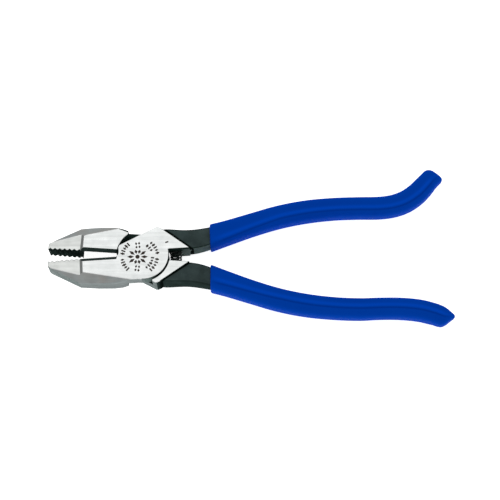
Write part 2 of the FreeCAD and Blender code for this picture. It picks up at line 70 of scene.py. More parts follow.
# Stations of a grip's centre line: reach, rise, turn in degrees, bar width and depth, wall.
GRIP_SHARED = [
    (38.6, 9.6, 13.0, 11.2, 11.2, 1.9),
    (50.0, 12.45, 15.0, 9.3, 9.6, 2.2),
    (65.0, 16.45, 14.8, 8.8, 9.2, 2.05),
    (81.0, 20.2, 11.0, 8.6, 9.0, 2.1),
    (97.0, 22.4, 5.0, 8.6, 9.0, 2.05),
    (113.0, 23.1, 0.0, 8.6, 9.0, 1.9),
    (128.0, 22.7, -3.0, 8.6, 9.0, 1.85),
]
GRIP_HOOK = GRIP_SHARED + [
    (140.5, 22.05, -1.0, 8.6, 9.0, 1.9),
    (149.0, 22.65, 9.0, 8.6, 9.0, 1.95),
    (156.6, 24.9, 24.0, 8.6, 9.0, 2.0),
    (163.3, 28.9, 37.0, 8.5, 9.0, 2.05),
    (168.6, 33.7, 46.0, 8.2, 8.8, 2.05),
    (171.9, 37.1, 47.0, 7.6, 8.2, 2.0),
]
GRIP_STRAIGHT = GRIP_SHARED + [
    (140.0, 21.45, -4.5, 8.6, 9.0, 1.75),
    (152.0, 20.75, -1.5, 8.4, 9.0, 1.85),
    (163.0, 21.2, 6.0, 8.2, 8.8, 1.95),
    (172.0, 22.9, 13.0, 7.8, 8.2, 2.0),
    (176.9, 23.8, 9.0, 6.6, 7.6, 2.0),
]


def half_axes(side):
    """From a half's own axes in millimetres to the frame in metres."""
    over = Matrix.Rotation(math.pi if side == STRAIGHT else 0.0, 4, "X")
    turn = Matrix.Rotation(REST_TURN * side, 4, "Z")
    lift = Matrix.Translation((0.0, 0.0, HALF_THICK))
    return Matrix.Scale(MM, 4) @ lift @ turn @ over


# ---------------------------------------------------------------- materials

# The numbers of a half's finishes, in the order in which half_materials makes them.
POLISHED, NOSE, GROUND, WALL_PAINTED_SHADE, FOOT, EDGE_PAINTED_HIGHLIGHT, STEP_PAINTED_SHADE, HANDLE, SIDE_PAINTED_PALE, SHADE, LAP_PAINTED_SHADE, STAMP = range(12)

# Blackened steel: a handle's flat faces in their own colour, with painted light and shade: paler
# on its side towards the other handle, painted shade on its outer side and on the faces inside
# the lap joint, which a handle's inner edge matches, and a painted shadow beside the step at BLOCK_LINE.
BLACK_TOP = (0.053, 0.078, 0.077)
BLACK_PAINTED_PALE = (0.130, 0.178, 0.166)
BLACK_PAINTED_SHADE = (0.026, 0.042, 0.039)
BLACK_DEEP_PAINTED_SHADE = (0.022, 0.042, 0.036)
BLACK_STEP_PAINTED_SHADOW = (0.004, 0.007, 0.006)
# The width of that painted shadow band, the share of it in its full colour, and how far past
# it the colour fades out. From the camera the hook half's raised face hides a part of its
# band, so it is the wider one.
STEP_SHADOW_WIDE = {HOOK: 1.3, STRAIGHT: 0.7}
STEP_SHADOW_FULL = 0.9
STEP_SHADOW_FADE = 0.25
# How far up a handle's face looks, as its normal's share along Z, where its painted shading
# turns from its inner side to its inner edge and where its top begins.
SIDE_TURNS = (0.5, 0.7)
TOP_STARTS = (0.86, 0.93)
# How far to either side a handle's face looks before it takes the inner or the outer painted shading.
SIDE_BLEND = 0.05
HANDLE_ROUGHNESS = 0.5

# Grain in cycles per metre along, across and through: fine scratches and broad streaks.
FINE_GRAIN = (60.0, 1700.0, 900.0)
BROAD_GRAIN = (22.0, 500.0, 300.0)
# The share of a ground face's tone that comes from blotches instead of scratches, and how
# much of a tint its strongest patches take.
BLOTCH = 0.35
TINT_SHARE = 0.6
# Spans of a noise: the one that nearly all of it lies in, and those that a ground face's
# streaks, its tinted patches and the bright specks of blackened steel come from.
NOISE_SPAN = (0.3, 0.7)
STREAK_SPAN = (0.2, 0.8)
TINT_SPAN = (0.45, 0.7)
SPECK_SPAN = (0.62, 0.8)
# The darkest patches of blackened steel and its brightest specks, as factors of its colour.
PATCH_DARKEST = 0.62
SPECK_BRIGHTEST = 2.0

# Dipped vinyl: its gloss, its least and greatest roughness, its two blues, and the painted
# highlight beside the crease and the painted shade in it.
VINYL_GLOSS = 0.004
VINYL_ROUGHNESS = (0.36, 0.5)
VINYL_BLUES = ((0.0, 0.050, 0.42), (0.0, 0.056, 0.45))
VINYL_PAINTED_HIGHLIGHT = (0.0, 0.068, 0.57)
VINYL_PAINTED_CREASE_SHADE = (0.0, 0.039, 0.34)

# A Mix node's inputs for its factor and its two colours, and the output with the colour.
MIX_FACTOR, MIX_FIRST, MIX_SECOND = 0, 6, 7
MIX_COLOUR = 2


def add(tree, kind, settings=None, **inputs):
    """A shader node, with its settings and its inputs, which are values or other sockets."""
    made = tree.nodes.new("ShaderNode" + kind)
    for name, value in (settings or {}).items():
        setattr(made, name, value)
    for name, value in inputs.items():
        socket = made.inputs[name.replace("_", " ")]
        if isinstance(value, bpy.types.NodeSocket):
            tree.links.new(value, socket)
        else:
            socket.default_value = value
    return made


def put_colour(tree, socket, colour):
    """Gives a colour's input a colour or another socket."""
    if isinstance(colour, bpy.types.NodeSocket):
        tree.links.new(colour, socket)
    else:
        socket.default_value = (*colour, 1.0)


def mixed(tree, factor, first, second):
    """The colour between two, each a colour or a socket."""
    made = add(tree, "Mix", {"data_type": "RGBA"})
    tree.links.new(factor, made.inputs[MIX_FACTOR])
    put_colour(tree, made.inputs[MIX_FIRST], first)
    put_colour(tree, made.inputs[MIX_SECOND], second)
    return made.outputs[MIX_COLOUR]


def times(tree, colour, factor):
    """A colour, or a socket of one, times a grey factor from a socket."""
    made = add(tree, "Mix", {"data_type": "RGBA", "blend_type": "MULTIPLY"})
    made.inputs[MIX_FACTOR].default_value = 1.0
    put_colour(tree, made.inputs[MIX_FIRST], colour)
    tree.links.new(factor, made.inputs[MIX_SECOND])
    return made.outputs[MIX_COLOUR]


def ranged(tree, value, low, high, to_low, to_high):
    """A value moved from one range to another and held inside it."""
    made = add(tree, "MapRange", From_Min=low, From_Max=high, To_Min=to_low, To_Max=to_high)
    tree.links.new(value, made.inputs["Value"])
    return made.outputs["Result"]


def worked_out(tree, operation, *values, kind="Math", result=0):
    """The result of a sum on numbers, vectors or sockets."""
    made = add(tree, kind, {"operation": operation})
    for number, value in enumerate(values):
        if isinstance(value, bpy.types.NodeSocket):
            tree.links.new(value, made.inputs[number])
        else:
            made.inputs[number].default_value = value
    return made.outputs[result]


def rough_bump(tree, shader, height, strength, distance):
    """Bumps a shader's surface by a height from a socket, its distance in millimetres."""
    bump = add(tree, "Bump", Strength=strength, Distance=distance * MM, Height=height)
    tree.links.new(bump.outputs["Normal"], shader.inputs["Normal"])


def noise(tree, where, scale, detail=3.0, roughness=0.55):
    """Noise, its scale in cycles per metre."""
    made = add(tree, "TexNoise", Vector=where, Scale=scale, Detail=detail, Roughness=roughness)
    return made.outputs["Fac"]


def new_material(name, metallic, roughness):
    """A material with its tree, its shader and the object's own coordinates."""
    made = bpy.data.materials.new(name)
    made.use_nodes = True
    tree = made.node_tree
    shader = tree.nodes["Principled BSDF"]
    shader.inputs["Metallic"].default_value = metallic
    shader.inputs["Roughness"].default_value = roughness
    where = add(tree, "TexCoord").outputs["Object"]
    return made, tree, shader, where


def stretched(tree, where, turn, scale):
    """Coordinates turned about Z and stretched, for grain that runs one way."""
    return add(tree, "Mapping", Vector=where, Rotation=(0.0, 0.0, turn), Scale=scale).outputs["Vector"]


def steel(name, light, dark, roughness, grain_turn, grain_depth, tint=None):
    """Ground or polished steel with grain one way, its depth in millimetres, and blotches."""
    made, tree, shader, where = new_material(name, metallic=1.0, roughness=roughness)
    scratches = stretched(tree, where, grain_turn, FINE_GRAIN)
    fine = noise(tree, scratches, scale=1.0, detail=4.0, roughness=0.6)
    coarse = noise(tree, stretched(tree, where, grain_turn, BROAD_GRAIN), scale=1.0, detail=2.0)
    cloud = noise(tree, where, scale=130.0, detail=4.0, roughness=0.6)
    blotches = ranged(tree, cloud, *NOISE_SPAN, 0.0, BLOTCH)
    streaks = worked_out(tree, "MULTIPLY_ADD", fine, 1.0 - BLOTCH, blotches)
    colour = mixed(tree, ranged(tree, streaks, *STREAK_SPAN, 0.0, 1.0), dark, light)
    if tint:
        patches = noise(tree, where, scale=70.0, detail=2.0)
        patches = ranged(tree, patches, *TINT_SPAN, 0.0, TINT_SHARE)
        colour = mixed(tree, patches, colour, tint)
    tree.links.new(colour, shader.inputs["Base Color"])
    uneven = ranged(tree, coarse, *NOISE_SPAN, roughness - 0.07, roughness + 0.08)
    tree.links.new(uneven, shader.inputs["Roughness"])
    rough_bump(tree, shader, fine, strength=0.5, distance=grain_depth)
    return made


def oxide(made, tree, shader, where, colour, roughness, gloss):
    """Blackened forged steel of a colour, or a socket of one: dense small pits and a sheen."""
    shader.inputs["Specular IOR Level"].default_value = gloss
    pits = noise(tree, where, scale=1300.0, detail=4.0, roughness=0.65)
    cloud = noise(tree, where, scale=160.0)
    patches = ranged(tree, cloud, *NOISE_SPAN, PATCH_DARKEST, 1.0)
    specks = ranged(tree, pits, *SPECK_SPAN, 1.0, SPECK_BRIGHTEST)
    tone = worked_out(tree, "MULTIPLY", patches, specks)
    tree.links.new(times(tree, colour, tone), shader.inputs["Base Color"])
    uneven = ranged(tree, pits, *NOISE_SPAN, roughness - 0.1, roughness + 0.12)
    tree.links.new(uneven, shader.inputs["Roughness"])
    rough_bump(tree, shader, pits, strength=0.45, distance=0.12)
    return made


def black_oxide(name, colour, roughness, gloss):
    """A dark pitted surface of one colour: blackened steel, or painted shade or light."""
    return oxide(*new_material(name, metallic=0.0, roughness=roughness), colour, roughness, gloss)


def step_shadow_gap(tree, where, side):
    """How far a spot of a handle lies from the middle of the painted shadow band beside its step."""
    (x0, y0), (x1, y1) = BLOCK_LINE
    away = (half_axes(side).to_3x3() @ Vector((y0 - y1, x1 - x0, 0.0))).normalized()
    start = away.dot(half_axes(side) @ Vector((x0, y0, 0.0))) + STEP_SHADOW_WIDE[side] / 2 * MM
    along = worked_out(tree, "DOT_PRODUCT", where, away, kind="VectorMath", result="Value")
    return worked_out(tree, "ABSOLUTE", worked_out(tree, "SUBTRACT", along, start))


def handle_black(side):
    """A handle's blackened steel with painted light and shade: paler on its inner side, painted shade on its
    inner edge and outer side, and darkest in a painted shadow beside its step.
    """
    made, tree, shader, where = new_material("black_handle_painted_shading", 0.0, HANDLE_ROUGHNESS)
    facing = add(tree, "SeparateXYZ", Vector=add(tree, "TexCoord").outputs["Normal"]).outputs
    up = worked_out(tree, "ABSOLUTE", facing["Z"])
    # Painted light and shade by which way a face looks: paler on the inner side, darker on its edge and on
    # the outer side.
    inner = mixed(tree, ranged(tree, up, *SIDE_TURNS, 0.0, 1.0), BLACK_PAINTED_PALE, BLACK_DEEP_PAINTED_SHADE)
    inwards = ranged(tree, facing["Y"], -SIDE_BLEND * side, SIDE_BLEND * side, 1.0, 0.0)
    edge = mixed(tree, inwards, BLACK_PAINTED_SHADE, inner)
    colour = mixed(tree, ranged(tree, up, *TOP_STARTS, 0.0, 1.0), edge, BLACK_TOP)
    # A painted shadow in a band along the step.
    half_band = STEP_SHADOW_WIDE[side] / 2 * MM
    fade = (STEP_SHADOW_FULL * half_band, half_band + STEP_SHADOW_FADE * MM)
    in_step_shadow = ranged(tree, step_shadow_gap(tree, where, side), *fade, 1.0, 0.0)
    colour = mixed(tree, in_step_shadow, colour, BLACK_STEP_PAINTED_SHADOW)
    return oxide(made, tree, shader, where, colour, HANDLE_ROUGHNESS, gloss=0.0)


def vinyl(name):
    """Dipped vinyl: blue, satin, with faint flow marks, a fine orange peel, and a painted highlight beside
    its crease and painted shade in it.
    """
    made, tree, shader, where = new_material(name, metallic=0.0, roughness=0.45)
    shader.inputs["Specular IOR Level"].default_value = VINYL_GLOSS
    flow = noise(tree, where, scale=45.0)
    base = mixed(tree, ranged(tree, flow, *NOISE_SPAN, 0.0, 1.0), *VINYL_BLUES)
    # The tone holds the painted highlight beside the crease and the painted shade in it.
    tone = add(tree, "Attribute", {"attribute_name": "tone"}).outputs["Fac"]
    painted_highlight_colour = mixed(tree, ranged(tree, tone, 0.0, 1.0, 0.0, 1.0), base, VINYL_PAINTED_HIGHLIGHT)
    painted_crease_colour = mixed(tree, ranged(tree, tone, -1.0, 0.0, 1.0, 0.0), painted_highlight_colour, VINYL_PAINTED_CREASE_SHADE)
    tree.links.new(painted_crease_colour, shader.inputs["Base Color"])
    peel = noise(tree, where, scale=900.0, detail=2.0)
    tree.links.new(ranged(tree, peel, *NOISE_SPAN, *VINYL_ROUGHNESS), shader.inputs["Roughness"])
    rough_bump(tree, shader, peel, strength=0.25, distance=0.06)
    return made


def half_materials(side):
    """The finishes of one half, in the order of their numbers."""
    turn = -REST_TURN * side
    across = turn + math.radians(90.0)
    return [
        steel("polished_face", light=(0.86, 0.88, 0.875), dark=(0.64, 0.665, 0.66),
              roughness=0.3, grain_turn=turn, grain_depth=0.02),
        steel("polished_nose", light=(0.80, 0.82, 0.80), dark=(0.60, 0.62, 0.60),
              roughness=0.36, grain_turn=across, grain_depth=0.03),
        steel("ground_bevel", light=(0.47, 0.505, 0.505), dark=(0.31, 0.335, 0.335),
              roughness=0.42, grain_turn=across, grain_depth=0.05, tint=(0.41, 0.375, 0.345)),
        # Upright ground walls, painted darker than the ground bevels as shade.
        steel("ground_wall_painted_shade", light=(0.15, 0.18, 0.18), dark=(0.09, 0.115, 0.115),
              roughness=0.42, grain_turn=turn, grain_depth=0.05),
        black_oxide("shaded_wall", (0.17, 0.215, 0.21), roughness=0.5, gloss=0.05),
        # Rounded edges beside the polished faces, with a painted highlight.
        steel("edge_painted_highlight", light=(0.92, 0.93, 0.93), dark=(0.85, 0.86, 0.86),
              roughness=0.25, grain_turn=turn, grain_depth=0.01),
        # The step down to the nose, painted darker as shade.
        steel("step_painted_shade", light=(0.31, 0.32, 0.315), dark=(0.20, 0.21, 0.205),
              roughness=0.45, grain_turn=across, grain_depth=0.04),
        # The handle's blackened steel, with painted light and shade.
        handle_black(side),
        # Paler blackened steel: painted light on the handles' inner sides, and a painted shade on the shown
        # piece of the boss's wall.
        black_oxide("black_painted_pale", BLACK_PAINTED_PALE, roughness=0.6, gloss=0.03),
        # The slot between the knives, painted dark as shade.
        black_oxide("slot_painted_shade", BLACK_PAINTED_SHADE, roughness=0.55, gloss=0.0),
        # Faces inside the lap joint and in hollows and gaps, painted near black as shade.
        black_oxide("lap_painted_shade", BLACK_DEEP_PAINTED_SHADE, roughness=0.55, gloss=0.0),
        black_oxide("stamped_floor", (0.07, 0.056, 0.048), roughness=0.6, gloss=0.1),
    ]


# ---------------------------------------------------------------- the forged halves

# Stretches of a half's plan where a finish or an edge painted dark as shade lies: low X, high X,
# low Y and high Y. The jaw's end is the one beside the boss, and the slot is the one between the knives.
FAR = math.inf
HANDLE_START = 11.0
HANDLE_AREA = (HANDLE_START, FAR, 0.0, FAR)
EAR_AREA = (9.5, FAR, 10.0, FAR)
JAW_END_AREA = (-13.6, -9.0, -FAR, -13.0)
JAW_END_EDGES = (-14.0, -9.0, -FAR, -12.5)
JAW_AREA = (-FAR, -10.0, -FAR, FAR)
SLOT_AREA = (-FAR, -15.0, -2.2, FAR)
SLOT_EDGES = (-FAR, -14.0, -4.2, FAR)
SLOT_END = (-15.7, -14.3, -1.95, 3.5)
INNER_SIDE = (22.8, FAR, -FAR, 3.0)
SPRING_SIDE = (14.0, FAR, -FAR, 3.0)
INNER_EDGES = (15.0, FAR, -FAR, 2.6)
BOSS_EDGES = (-2.0, FAR, -FAR, 5.0)
# A wall is in the shade from this X on, if it lies this far from the middle line, and on
# the nose.
SHADED_START = -1.5
SHADED_OUT = 8.0
# How far to the rivet's side of the step's line the middle of a face or of a rounded edge
# may lie and still belong to the handle.
BLOCK_FACES = -0.02
BLOCK_EDGES = 0.3

# Distances from the rivet's axis: the rivet's rim, the boss's edge painted dark as shade, its
# wall, the edge of the round recess beyond it, painted dark as shade, and that recess's wall;
# and the X from which the recess's edge is painted dark.
RIM_RADIUS = 7.0
BOSS_EDGE = 15.3
BOSS_WALL = 15.5
RECESS_EDGE = 16.6
RECESS_WALL = 17.0
RECESS_START = 5.0
# Bearings of the boss's wall inside the lap joint, painted as shade, and of the piece of it that shows,
# painted a paler shade.
LAP_BEARINGS = (-65.0, 45.0)
SHOWN_BEARINGS = (-86.0, -60.0)

# How far up a face looks, as its normal's share along Z: 1 is level and 0 is upright.
LEVEL = 0.995
NEARLY_LEVEL = 0.99
ROUGHLY_LEVEL = 0.9
BEVEL_SLOPE = (0.8, 0.95)
JAW_END_SLOPE = (0.5, 0.9)
STEP_SLOPE = (0.3, 0.95)
STEEP = 0.5
GROUND_SLOPE = 0.3
# The least share along X of a face that looks to the handle, and the most along Y of one
# that looks straight along the jaw.
LOOKS_BACK = 0.05
LOOKS_ALONG = 0.2
# How far from the middle of the thickness faces lie: the polished ones and the nose's at
# least, and the lap joint's at most.
POLISHED_LOW = HALF_THICK - 0.05
NOSE_LOW = 5.5
LAP_HIGH = 0.5

# How far the edges of the ground faces are rounded, and the edge at the slot's end, which is
# painted as shade. An edge counts as one to round, or else to shade sharply, from these angles
# on, in degrees.
EDGE_WIDE = 0.22
SLOT_END_WIDE = 0.8
ROUNDED_ANGLE = 15.0
SHARP_ANGLE = 20.0
# Corners closer than this are one, before the stamp is cut and after it, faces at less than
# this angle are one, and a face thinner than a sliver goes.
SAME_SPOT = 1e-3
CUT_SPOT = 1e-4
SAME_PLANE = math.radians(0.3)
SLIVER = 0.04


def beyond(line, spot):
    """How far a spot lies to the right of a line through two points of the plan."""
    (x0, y0), (x1, y1) = line
    along = Vector((x1 - x0, y1 - y0)).normalized()
    return along.y * (spot.x - x0) - along.x * (spot.y - y0)


def within(spot, area):
    """Whether a spot of the plan lies in a stretch of it."""
    low_x, high_x, low_y, high_y = area
    return low_x < spot.x < high_x and low_y < spot.y < high_y


def between(value, span):
    """Whether a value lies inside a span."""
    low, high = span
    return low < value < high


def finish_of(face):
    """The finish of one face of a half: the first that fits where it lies and how it looks."""
    middle = face.calc_center_median()
    normal = face.normal
    up, high = abs(normal.z), abs(middle.z)
    radius = math.hypot(middle.x, middle.y)
    bearing = math.degrees(math.atan2(middle.y, middle.x))
    steep = up < STEEP
    hollow = normal.x * middle.x + normal.y * middle.y < 0
    along_jaw = abs(normal.y) < LOOKS_ALONG
    boss_wall = steep and radius < BOSS_WALL
    # Several of these finishes are painted shade or painted light in place of the steel's own colour.
    rules = (
        (HANDLE, within(middle, HANDLE_AREA) and beyond(BLOCK_LINE, middle) < BLOCK_FACES),
        (HANDLE, within(middle, EAR_AREA) and up < ROUGHLY_LEVEL and normal.x > LOOKS_BACK),
        (LAP_PAINTED_SHADE, within(middle, JAW_END_AREA) and between(up, JAW_END_SLOPE)),
        (POLISHED, up > LEVEL and high > POLISHED_LOW),
        (NOSE, up > NEARLY_LEVEL and middle.x < NOSE_STEP[0] and high > NOSE_LOW),
        (STEP_PAINTED_SHADE, between(middle.x, NOSE_STEP) and between(up, STEP_SLOPE) and along_jaw),
        (SHADE, within(middle, SLOT_AREA)),
        (GROUND, within(middle, JAW_AREA) and between(up, BEVEL_SLOPE)),
        (LAP_PAINTED_SHADE, high < LAP_HIGH and up > ROUGHLY_LEVEL),
        (LAP_PAINTED_SHADE, steep and radius < RECESS_WALL and hollow),
        (LAP_PAINTED_SHADE, boss_wall and between(bearing, LAP_BEARINGS)),
        (SIDE_PAINTED_PALE, boss_wall and between(bearing, SHOWN_BEARINGS)),
        (SIDE_PAINTED_PALE, steep and within(middle, INNER_SIDE)),
        (LAP_PAINTED_SHADE, steep and within(middle, SPRING_SIDE)),
        (GROUND, up > GROUND_SLOPE),
        (FOOT, middle.x > SHADED_START and abs(middle.y) > SHADED_OUT),
        (FOOT, middle.x < NOSE_STEP[0]),
        (WALL_PAINTED_SHADE, True),
    )
    return next(finish for finish, fits in rules if fits)


def is_sharp(edge, degrees):
    """Whether an edge's two faces meet at more than an angle."""
    return edge.is_manifold and edge.calc_face_angle() > math.radians(degrees)


def worked_mesh(node, side):
    """A node's mesh in a half's own axes, its flat faces whole and each with its finish."""
    mesh = bmesh.new()
    mesh.from_mesh(node.data)
    mesh.transform(half_axes(side).inverted())
    bmesh.ops.remove_doubles(mesh, verts=mesh.verts, dist=SAME_SPOT)
    bmesh.ops.dissolve_limit(mesh, angle_limit=SAME_PLANE, verts=mesh.verts, edges=mesh.edges)
    bmesh.ops.dissolve_degenerate(mesh, dist=SLIVER, edges=mesh.edges)
    mesh.normal_update()
    for face in mesh.faces:
        face.material_index = finish_of(face)
    return mesh


def edge_in_painted_shade(spot):
    """Whether a rounded edge of a ground face lies where it is painted dark as shade instead of given a
    painted highlight.
    """
    radius = math.hypot(spot.x, spot.y)
    boss = radius < BOSS_EDGE and within(spot, BOSS_EDGES)
    recess = between(radius, (BOSS_EDGE, RECESS_EDGE)) and spot.x > RECESS_START
    block = spot.x > HANDLE_START and beyond(BLOCK_LINE, spot) < BLOCK_EDGES
    elsewhere = any(within(spot, area) for area in (SLOT_EDGES, INNER_EDGES, JAW_END_EDGES))
    return boss or recess or block or elsewhere


def bevelled(mesh, edges, width):
    """Rounds edges over and returns the new faces."""
    made = bmesh.ops.bevel(mesh, geom=edges, offset=width, offset_type="OFFSET", segments=2,
                           profile=0.5, affect="EDGES", clamp_overlap=False, material=-1)
    mesh.normal_update()
    return made["faces"]


def break_edges(mesh):
    """Rounds the ground faces' edges a little and the slot's end more, painting the slot's end as shade and
    the edges beside the polished faces with a painted highlight or as shade.
    """
    edges, slot_end = [], []
    for edge in mesh.edges:
        first, second = (vert.co for vert in edge.verts)
        middle = (first + second) / 2
        ground = any(face.material_index in (POLISHED, NOSE) for face in edge.link_faces)
        rim = math.hypot(middle.x, middle.y) < RIM_RADIUS
        if not ground or rim or not edge.is_convex or not is_sharp(edge, ROUNDED_ANGLE):
            continue
        ends_slot = within(middle, SLOT_END) and middle.z > 0
        crosswise = abs(second.y - first.y) > 2 * abs(second.x - first.x)
        (slot_end if ends_slot and crosswise else edges).append(edge)
    # The slot's end is rounded more and painted as shade.
    for face in bevelled(mesh, slot_end, SLOT_END_WIDE):
        face.material_index = LAP_PAINTED_SHADE
    edges = [edge for edge in edges if edge.is_valid]
    for face in bevelled(mesh, edges, EDGE_WIDE):
        beside = set()
        for edge in face.edges:
            beside.update(other.material_index for other in edge.link_faces)
        # Edges beside the polished faces get a painted highlight, or painted shade where they lie in gaps,
        # hollows and beside the step.
        if POLISHED in beside or NOSE in beside or EDGE_PAINTED_HIGHLIGHT in beside:
            face.material_index = LAP_PAINTED_SHADE if edge_in_painted_shade(face.calc_center_median()) else EDGE_PAINTED_HIGHLIGHT


def new_object(name, mesh, materials):
    """An object from an edit mesh, which is used up."""
    data = bpy.data.meshes.new(name)
    mesh.to_mesh(data)
    mesh.free()
    for material in materials:
        data.materials.append(material)
    made = bpy.data.objects.new(name, data)
    bpy.context.scene.collection.objects.link(made)
    return made


def carve(thing, cutter):
    """Cuts one object out of another for good."""
    cut = thing.modifiers.new("cut", "BOOLEAN")
    cut.operation = "DIFFERENCE"
    cut.solver = "EXACT"
    cut.material_mode = "INDEX"
    cut.object = cutter
    graph = bpy.context.evaluated_depsgraph_get()
    carved = bpy.data.meshes.new_from_object(thing.evaluated_get(graph))
    thing.modifiers.clear()
    thing.data = carved


def finish_piece(thing, side, body, node):
    """Marks the sharp edges, those of the ground flats among them, and puts a piece in place."""
    mesh = bmesh.new()
    mesh.from_mesh(thing.data)
    bmesh.ops.remove_doubles(mesh, verts=mesh.verts, dist=CUT_SPOT)
    for face in mesh.faces:
        face.smooth = True
    for edge in mesh.edges:
        flat = any(face.material_index in (POLISHED, NOSE) for face in edge.link_faces)
        edge.smooth = not flat and not is_sharp(edge, SHARP_ANGLE)
    mesh.to_mesh(thing.data)
    mesh.free()
    thing.data.transform(half_axes(side))
    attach(thing, body)
    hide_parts(node)


# ---------------------------------------------------------------- the stamp

STAMP_CENTRE = (-2.05, -1.5)
STAMP_DEEP = 0.22
CUTTER_RISE = 0.5
# A mark's stroke, the marks' spacing in strokes, the arms of a cross past its stroke and
# their height as a share of it, and how far a lozenge reaches past the stroke.
STROKE = 0.9
MARK_SPACING = 1.95
CROSS_ARM = 0.34
CROSS_SHARE = 0.8
LOZENGE_SIDE = 0.25
BAR, CROSS, LOZENGE = range(3)
# Rows of marks round the stamp: first and last angle, inner and outer radius, and the marks.
STAMP_ROWS = [
    (126.0, 174.0, 8.7, 11.2, (BAR, CROSS, LOZENGE)),
    (186.0, 234.0, 8.7, 11.2, (LOZENGE, BAR, CROSS)),
    (8.0, 56.0, 9.7, 11.9, (CROSS, LOZENGE, BAR)),
    (-54.0, -3.0, 9.4, 11.6, (BAR, CROSS, LOZENGE)),
    (24.0, 62.0, 7.0, 9.0, (LOZENGE, BAR, CROSS)),
    (-62.0, 2.0, 6.8, 8.8, (LOZENGE, BAR, CROSS)),
    (81.5, 114.5, 5.2, 7.0, (LOZENGE,)),
    (85.8, 110.2, 7.3, 9.2, (LOZENGE,)),
    (245.5, 278.5, 5.2, 7.0, (LOZENGE,)),
    (249.8, 274.2, 7.3, 9.2, (LOZENGE,)),
]
# The star: how far along X it is moved from the rows, its spokes, which of each half turn's
# are the long ones, and its ten-sided middle.
STAR_SHIFT = -1.0
SPOKES = 10
LONG_SPOKES = (0, 1, 4)
SPOKE_LONG = 6.1
SPOKE_SHORT = 4.6
SPOKE_WIDE = 1.9
SPOKE_START = 1.9
HUB = 1.3
# The dash on the ear: its spot and its outline round it.
DASH_SPOT = (13.9, 7.4)
DASH_OUTLINE = [(-0.9, -0.6), (0.9, 0.0), (0.8, 0.8), (-1.0, 0.3)]


def prism(mesh, corners):
    """A cutter through the front face, from an outline in the frame's plan at rest."""
    back = Matrix.Rotation(-REST_TURN, 3, "Z")
    outline = [back @ Vector((x, y, 0.0)) for x, y in corners]
    low = [mesh.verts.new(spot + Vector((0, 0, HALF_THICK - STAMP_DEEP))) for spot in outline]
    high = [mesh.verts.new(spot + Vector((0, 0, HALF_THICK + CUTTER_RISE))) for spot in outline]
    faces = [mesh.faces.new(list(reversed(low))), mesh.faces.new(high)]
    for number in range(len(outline)):
        after = (number + 1) % len(outline)
        faces.append(mesh.faces.new((low[number], low[after], high[after], high[number])))
    for face in faces:
        face.material_index = STAMP


def polar(radius, angle, shift=0.0, along=0.0):
    """A spot of the stamp at a radius and an angle, moved sideways and along X."""
    cosine, sine = math.cos(angle), math.sin(angle)
    return (STAMP_CENTRE[0] + along + radius * cosine - shift * sine,
            STAMP_CENTRE[1] + radius * sine + shift * cosine)


def mark_corners(kind, tall):
    """A plain mark's outline, sideways and outward: a bar, a cross or a lozenge."""
    half = STROKE / 2
    if kind == BAR:
        return [(-half, 0.0), (half, 0.0), (half, tall), (-half, tall)]
    if kind == CROSS:
        low, high = tall / 2 - half * CROSS_SHARE, tall / 2 + half * CROSS_SHARE
        arm = half + CROSS_ARM
        return [(-half, 0.0), (half, 0.0), (half, low), (arm, low), (arm, high), (half, high),
                (half, tall), (-half, tall), (-half, high), (-arm, high), (-arm, low), (-half, low)]
    wide = half + LOZENGE_SIDE
    return [(0.0, 0.0), (wide, tall / 2), (0.0, tall), (-wide, tall / 2)]


def stamp_cutter():
    """Rows of plain marks round a ten-pointed star, and a dash on the ear."""
    mesh = bmesh.new()
    for first, last, inner, outer, kinds in STAMP_ROWS:
        arc = math.radians(last - first) * (inner + outer) / 2
        marks = round(arc / (MARK_SPACING * STROKE))
        for number in range(marks):
            angle = math.radians(first + (last - first) * (number + 0.5) / marks)
            corners = mark_corners(kinds[number % len(kinds)], outer - inner)
            prism(mesh, [polar(inner + out, angle, aside) for aside, out in corners])
    for number in range(SPOKES):
        angle = 2 * math.pi * number / SPOKES
        reach = SPOKE_LONG if number % (SPOKES // 2) in LONG_SPOKES else SPOKE_SHORT
        middle = (SPOKE_START + reach) / 2
        spots = [(SPOKE_START, 0.0), (middle, -SPOKE_WIDE / 2), (reach, 0.0), (middle, SPOKE_WIDE / 2)]
        prism(mesh, [polar(radius, angle, aside, STAR_SHIFT) for radius, aside in spots])
    prism(mesh, [polar(HUB, 2 * math.pi * (number + 0.5) / SPOKES, 0.0, STAR_SHIFT)
                 for number in range(SPOKES)])
    prism(mesh, [(DASH_SPOT[0] + x, DASH_SPOT[1] + y) for x, y in DASH_OUTLINE])
    bmesh.ops.recalc_face_normals(mesh, faces=mesh.faces)
    return new_object("stamp_cutter", mesh, STEELS[HOOK])


def make_half(name, side, body, cutter):
    """A half with broken edges, its finishes and, if there is a cutter, its stamp."""
    mesh = worked_mesh(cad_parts[name], side)
    break_edges(mesh)
    made = new_object(name + "_worked", mesh, STEELS[side])
    if cutter:
        carve(made, cutter)
    finish_piece(made, side, body, name)


def make_rivet(cutter):
    """The rivet, ground flush with the faces and stamped over with them."""
    mesh = worked_mesh(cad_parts["pivot_rivet"], HOOK)
    for face in mesh.faces:
        # The rivet's sides, inside its hole, are painted as shade.
        face.material_index = POLISHED if abs(face.normal.z) > ROUGHLY_LEVEL else LAP_PAINTED_SHADE
    made = new_object("pivot_rivet_ground", mesh, STEELS[HOOK])
    carve(made, cutter)
    finish_piece(made, HOOK, "hook_half", "pivot_rivet")


# ---------------------------------------------------------------- the spring

